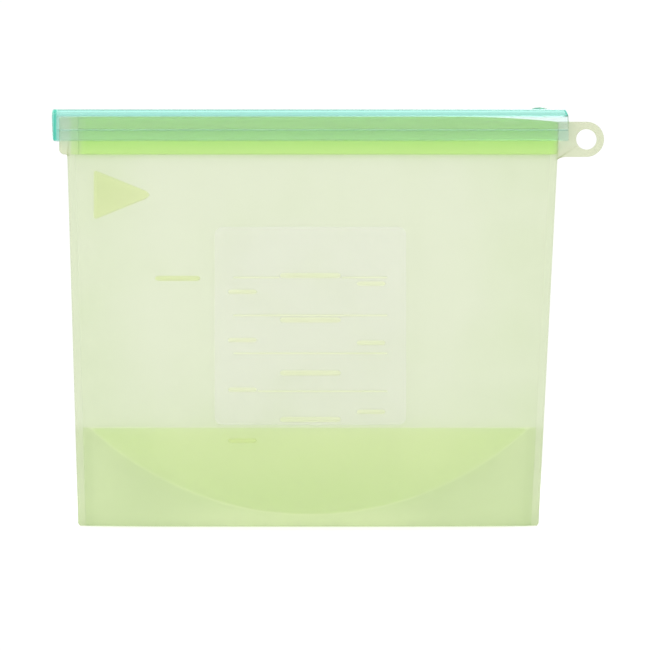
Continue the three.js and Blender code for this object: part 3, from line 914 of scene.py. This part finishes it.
def clear_plastic(name, absorbed, density):
    """Moulded clear plastic: full transmission at IOR 1.49, absorption inside, a tint by place that is
    painted light for light carried inside, and haze.
    """
    material, tree = new_material(name)
    place = node(tree, "Attribute", output="Vector", attribute_name="place_mm")
    flow = node(tree, "Mapping", {"Vector": place, "Scale": FLOW_LINES})
    lines = node(tree, "TexNoise", {"Vector": flow, "Scale": 1.0, "Detail": 2.0}, output="Fac")
    bump = node(tree, "Bump", {"Height": lines, "Strength": 0.02, "Distance": 0.03 * MM})
    along, _, height = node(tree, "SeparateXYZ", place, output=None)
    # Painted light from here on: a teal tint along the end wall line, the cut right end and the lip line, for
    # light carried inside the plastic.
    from_wall = distance(tree, along, END_LINE)
    wall_line = node(tree, "MapRange", from_wall, 0.7, 0.25, **SMOOTH_STEP)
    slope = END_CUT / (clip_top - web_low)
    end_face = node(tree, "Math", height, -slope, clip_right + slope * web_low, operation="MULTIPLY_ADD")
    from_end = node(tree, "Math", end_face, along, operation="SUBTRACT")
    near_end = node(tree, "MapRange", from_end, 1.1, 0.6, **SMOOTH_STEP)
    above_rim = node(tree, "MapRange", height, web_low - 0.2, web_low + 0.4, **SMOOTH_STEP)
    right_edge = node(tree, "Math", near_end, above_rim, operation="MULTIPLY")
    from_lip = distance(tree, height, lip_top - 0.1)
    lip_edge = stepped(tree, from_lip, 0.4, 0.12, 0.3)
    edges = node(tree, "Math", lip_edge, right_edge, operation="MAXIMUM")
    edges = node(tree, "Math", wall_line, edges, operation="MAXIMUM")
    # Painted light: the web and the zone beside the end wall are painted aqua, for light that travels a long
    # way through the plastic there.
    beside_wall = stepped(tree, along, END_LINE + 2.4, END_LINE + 1.6, 0.7)
    in_web = node(tree, "MapRange", height, web_low - 0.3, web_low + 0.4, **SMOOTH_STEP)
    in_web = node(tree, "Math", in_web, beside_wall, operation="MAXIMUM")
    tints = {0: in_web, 6: linear("#ffffff"), 7: linear("#b2e2d3")}
    thick = node(tree, "Mix", tints, output=2, data_type="RGBA")
    tints = {0: edges, 6: thick, 7: linear("#34c8ae")}
    colour = node(tree, "Mix", tints, output=2, data_type="RGBA")
    polish = node(tree, "MapRange", {"Value": lines, "To Min": 0.02, "To Max": 0.07})
    glass = {"Base Color": colour, "Roughness": polish, "IOR": 1.49, "Transmission Weight": 1.0}
    plastic = node(tree, "BsdfPrincipled", {**glass, "Normal": bump})
    inside = node(tree, "VolumeAbsorption", {"Color": linear(absorbed), "Density": density})
    shadow_ray = node(tree, "LightPath", output="Is Shadow Ray")
    let_through = node(tree, "BsdfTransparent", LAMP_TINT)
    haze = node(tree, "BsdfDiffuse", linear("#f2fdfb"))
    hazy = node(tree, "MixShader", HAZE_SHARE, plastic, haze)
    surface = node(tree, "MixShader", shadow_ray, hazy, let_through)
    node(tree, "OutputMaterial", {"Surface": surface, "Volume": inside}, output=None)
    print("clear plastic", name)
    return material


clip_plastic = clear_plastic("clear_aqua_moulded_plastic", "#4ef2ea", 60.0)

# %% Clip
end_low, _ = box_mm("clip_end_wall")
CLIP_CORNER = 3.4
SLOT_CLEARANCE = 0.3
lip_half = RIM_HALF + RIM_THICKNESS + SLOT_CLEARANCE
cavity_half = rim_high[1] + SLOT_CLEARANCE
clip_half = channel_high[1]
cavity_top = rim_high[2] + 0.12


def corner_curve(corners, radii):
    """An open outline with its inner corners made round."""
    corners = np.array(corners, float)
    curves = [rounded(corners[i], corners[i + 1], corners[i + 2], radii[i], 9) for i in range(len(radii))]
    return np.concatenate([corners[:1], *curves, corners[-1:]])


def round_top(half, bottom, top, radius, foot):
    """Outer outline of the clip: up one side, over a round top made of two quarter circles, and down."""
    left = arc_points((-half + radius, top - radius), radius, 180, 90, 17)
    right = arc_points((half - radius, top - radius), radius, 90, 0, 17)
    low_left = arc_points((-half + foot, bottom + foot), foot, 270, 180, 5)
    low_right = arc_points((half - foot, bottom + foot), foot, 0, -90, 5)
    return np.concatenate([low_left, left, right, low_right])


outer_path = round_top(clip_half, clip_bottom, clip_top, CLIP_CORNER, 0.5)
inner_path = corner_curve(
    [
        (lip_half + 0.7, clip_bottom),
        (lip_half, clip_bottom + 0.8),
        (lip_half, lip_top),
        (cavity_half, lip_top),
        (cavity_half, cavity_top),
        (-cavity_half, cavity_top),
        (-cavity_half, lip_top),
        (-lip_half, lip_top),
        (-lip_half, clip_bottom + 0.8),
        (-lip_half - 0.7, clip_bottom),
    ],
    [0.3, 0.3, 0.2, 0.6, 0.6, 0.2, 0.3, 0.3],
)
print("clip outlines:", len(outer_path), "and", len(inner_path), "points")

# %% [markdown]
# The channel is the section carried along X from the inner face of the end wall to the open right end. The
# left end is closed by a wall that bulges slightly outwards, so there only the outer outline runs on, and
# shrinks over the last stations as a soft edge does. Its lower part leans back, so that corner is rounder.

# %% Clip mesh
LONG_STATIONS = 60
BULGE_DEPTH = 0.8
BULGE_RINGS = 7
LEAN_HEIGHT = 3.2
clip_left = end_low[0]
clip_centre = np.array([0.0, (clip_bottom + clip_top) / 2])


def shrunk(path, by):
    """An outline moved towards the clip's centre line by a distance in each direction."""
    offset = path - clip_centre
    reach = np.abs(offset).max(axis=0)
    return clip_centre + offset * (reach - by) / reach


def ring(x, path, cut=0.0):
    """Points of an outline in Y and Z at one x. cut leans them back evenly from the web's underside up."""
    into_web = np.clip((path[:, 1] - web_low) / (clip_top - web_low), 0, 1)
    return np.stack([x - cut * into_web, path[:, 0], path[:, 1]], axis=-1)


outer_count, inner_count = len(outer_path), len(inner_path)
section = outer_count + inner_count
right_steps = [(0.28, 0.0), (0.1, 0.1), (0.0, 0.28)]
body_stations = [clip_right - back for back, _ in right_steps]
body_shrink = [by for _, by in right_steps]
long_stations = np.concatenate([spread(channel_low[0], clip_right - 2.5, LONG_STATIONS), body_stations])
long_shrink = np.concatenate([np.zeros(LONG_STATIONS), body_shrink])
rings = []
for x, by in zip(long_stations, long_shrink):
    cut = END_CUT if x > clip_right - 2 else 0.0
    rings.append(ring(x, shrunk(outer_path, by), cut))
    rings.append(ring(x, inner_path, cut))
for turn in spread(0, math.pi / 2, BULGE_RINGS):
    x = clip_left + BULGE_DEPTH * (1 - math.sin(turn))
    lean = ring(x, shrunk(outer_path, BULGE_DEPTH * (1 - math.cos(turn))))
    low_part = np.clip(1 - (lean[:, 2] - clip_bottom) / LEAN_HEIGHT, 0, 1)
    lean[:, 0] += low_part**2 * min(clip_left + BULGE_DEPTH - x, 1)
    rings.append(lean)
points = np.concatenate(rings)
stations = len(long_stations)
faces = []
here = np.arange(section)
after = np.roll(here, -1)
for k in range(stations - 1):
    a, b = k * section, (k + 1) * section
    faces += faces_of(a + here, b + here, b + after, a + after)
last = (stations - 1) * section
faces.append((last + here).tolist()[::-1])
faces.append((outer_count + np.arange(inner_count)).tolist())
end_first = stations * section
outer_here = np.arange(outer_count)
outer_after = np.roll(outer_here, -1)
inner = outer_here[:-1]
faces += faces_of(inner, inner + 1, end_first + inner + 1, end_first + inner)
underside = [outer_count - 1, end_first + outer_count - 1, end_first, 0, section - 1, outer_count]
faces.append(underside[::-1])
for k in range(BULGE_RINGS - 1):
    a, b = end_first + k * outer_count, end_first + (k + 1) * outer_count
    faces += faces_of(a + outer_here, a + outer_after, b + outer_after, b + outer_here)
faces.append((end_first + (BULGE_RINGS - 1) * outer_count + outer_here).tolist())
clip = new_piece("slide_clip_channel", points, faces)
finish_piece(clip, clip_plastic, "clear_clip_plastic", "clip_channel", "clip_end_wall")
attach(clip, "slide_clip")
print("clip mesh:", len(clip.data.polygons), "faces")

# %% [markdown]
# A small thumb bump stands on top near the open end. It is the upper half of an ellipsoid: rings shrink
# with the cosine of their height angle, and a flat face closes its base, sunk a little into the clip.

# %% Thumb bump
BUMP_SINK = 0.25
BUMP_SPREAD = 1.25
bump_low, bump_high = box_mm("clip_thumb_bump")
bump_centre = (bump_low + bump_high) / 2
bump_half = (bump_high - bump_low) / 2
angle = spread(0, 2 * math.pi, 49)[:-1]
layers = []
for lift in spread(0, math.pi / 2, 12)[:-1]:
    x = bump_centre[0] + bump_half[0] * BUMP_SPREAD * math.cos(lift) * np.cos(angle)
    y = bump_half[1] * math.cos(lift) * np.sin(angle)
    height = clip_top - BUMP_SINK + (bump_high[2] - clip_top + BUMP_SINK) * math.sin(lift)
    layers.append(np.stack([x, y, np.full(len(angle), height)], axis=-1))
points = np.concatenate(layers + [np.array([[bump_centre[0], 0, bump_high[2]]])])
here = np.arange(len(angle))
after = np.roll(here, -1)
faces = []
for k in range(len(layers) - 1):
    a, b = k * len(angle), (k + 1) * len(angle)
    faces += faces_of(a + here, a + after, b + after, b + here)
a = (len(layers) - 1) * len(angle)
faces += faces_of(a + here, a + after, len(points) - 1)
faces.append(here[::-1].tolist())
bump = new_piece("thumb_bump", points, faces)
finish_piece(bump, clip_plastic, "clear_clip_plastic", "clip_thumb_bump")
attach(bump, "slide_clip")
print("thumb bump:", len(bump.data.polygons), "faces")

# %% [markdown]
# The studio is a white room: an even white surround, a pale floor that glows very slightly and fades into
# it, one large soft lamp above the front and one behind. A light surround makes translucent silicone glow.

# %% Floor
FLOOR_RADIUS = 0.9
FLOOR_DROP = 0.0002
FLOOR_SIDES = 96
floor_mesh = bpy.data.meshes.new("floor")
angle = spread(0, 2 * math.pi, FLOOR_SIDES + 1)[:-1]
circle = np.stack([np.cos(angle), np.sin(angle), np.zeros(FLOOR_SIDES)], axis=-1) * FLOOR_RADIUS
points = np.concatenate([circle, [[0, 0, 0]]]) - [0, 0, FLOOR_DROP]
around = np.arange(FLOOR_SIDES)
floor_mesh.from_pydata(points, [], faces_of(around, np.roll(around, -1), FLOOR_SIDES))
floor = bpy.data.objects.new("floor", floor_mesh)
bpy.context.scene.collection.objects.link(floor)
paper, tree = new_material("matt_white_paper")
where = node(tree, "TexCoord", output="Object")
away = node(tree, "VectorMath", where, output="Value", operation="LENGTH")
fade = node(tree, "MapRange", away, 0.25, FLOOR_RADIUS * 0.95, **SMOOTH_STEP)
fibre = node(tree, "TexNoise", {"Vector": where, "Scale": 700.0}, output="Fac")
whites = {0: fibre, 6: linear("#f6f6f6"), 7: linear("#fbfbfb")}
paper_white = node(tree, "Mix", whites, output=2, data_type="RGBA")
matt = node(tree, "BsdfDiffuse", paper_white)
glow = node(tree, "Emission", {"Strength": 0.06})
lit = node(tree, "AddShader", matt, glow)
gone = node(tree, "BsdfTransparent")
edge = node(tree, "MixShader", fade, lit, gone)
node(tree, "OutputMaterial", edge, output=None)
floor_mesh.materials.append(paper)
print("floor radius in metres:", FLOOR_RADIUS)

# %% Surround and lamps
world = bpy.data.worlds.new("white_room")
bpy.context.scene.world = world
world.use_nodes = True
world.node_tree.nodes["Background"].inputs["Color"].default_value = (1, 1, 1, 1)
world.node_tree.nodes["Background"].inputs["Strength"].default_value = 1.03


def soft_lamp(name, place, target, size, power):
    """A square area lamp at a place, turned so that it looks at the target."""
    lamp = bpy.data.lights.new(name, "AREA")
    lamp.size = size
    lamp.energy = power
    stand = bpy.data.objects.new(name, lamp)
    bpy.context.scene.collection.objects.link(stand)
    stand.location = place
    look = Vector(target) - Vector(place)
    stand.rotation_euler = look.to_track_quat("-Z", "Y").to_euler()
    return stand


soft_lamp("key_softbox", (-0.7, -0.9, 1.2), (0, 0, 0.08), 0.9, 6.0)
soft_lamp("rear_softbox", (0.5, 1.0, 1.1), (0, 0, 0.08), 0.9, 5.0)
print("lamps placed")

# %% [markdown]
# The camera looks straight at the front from near the height of the bag's middle, with a long lens, as
# product pictures are taken. The picture is as wide as 285 mm at the bag, and its centre is a touch below
# the bag's own. Clear layers lie many deep here, so rays may cross many of them before they are given up.

# %% Camera and light paths
VIEW_WIDTH = 0.285
DISTANCE = 1.8
view_centre = (-0.0014, 0.0879)
camera_data = bpy.data.cameras.new("camera")
camera_data.lens = camera_data.sensor_width * DISTANCE / VIEW_WIDTH
camera = bpy.data.objects.new("camera", camera_data)
bpy.context.scene.collection.objects.link(camera)
camera.location = (view_centre[0], -DISTANCE, view_centre[1])
camera.rotation_euler = (math.pi / 2, 0, 0)
bpy.context.scene.camera = camera
bpy.context.scene.view_settings.view_transform = "Standard"
paths = bpy.context.scene.cycles
paths.max_bounces = 24
paths.transmission_bounces = 16
paths.transparent_max_bounces = 48
print("lens in millimetres:", camera_data.lens)
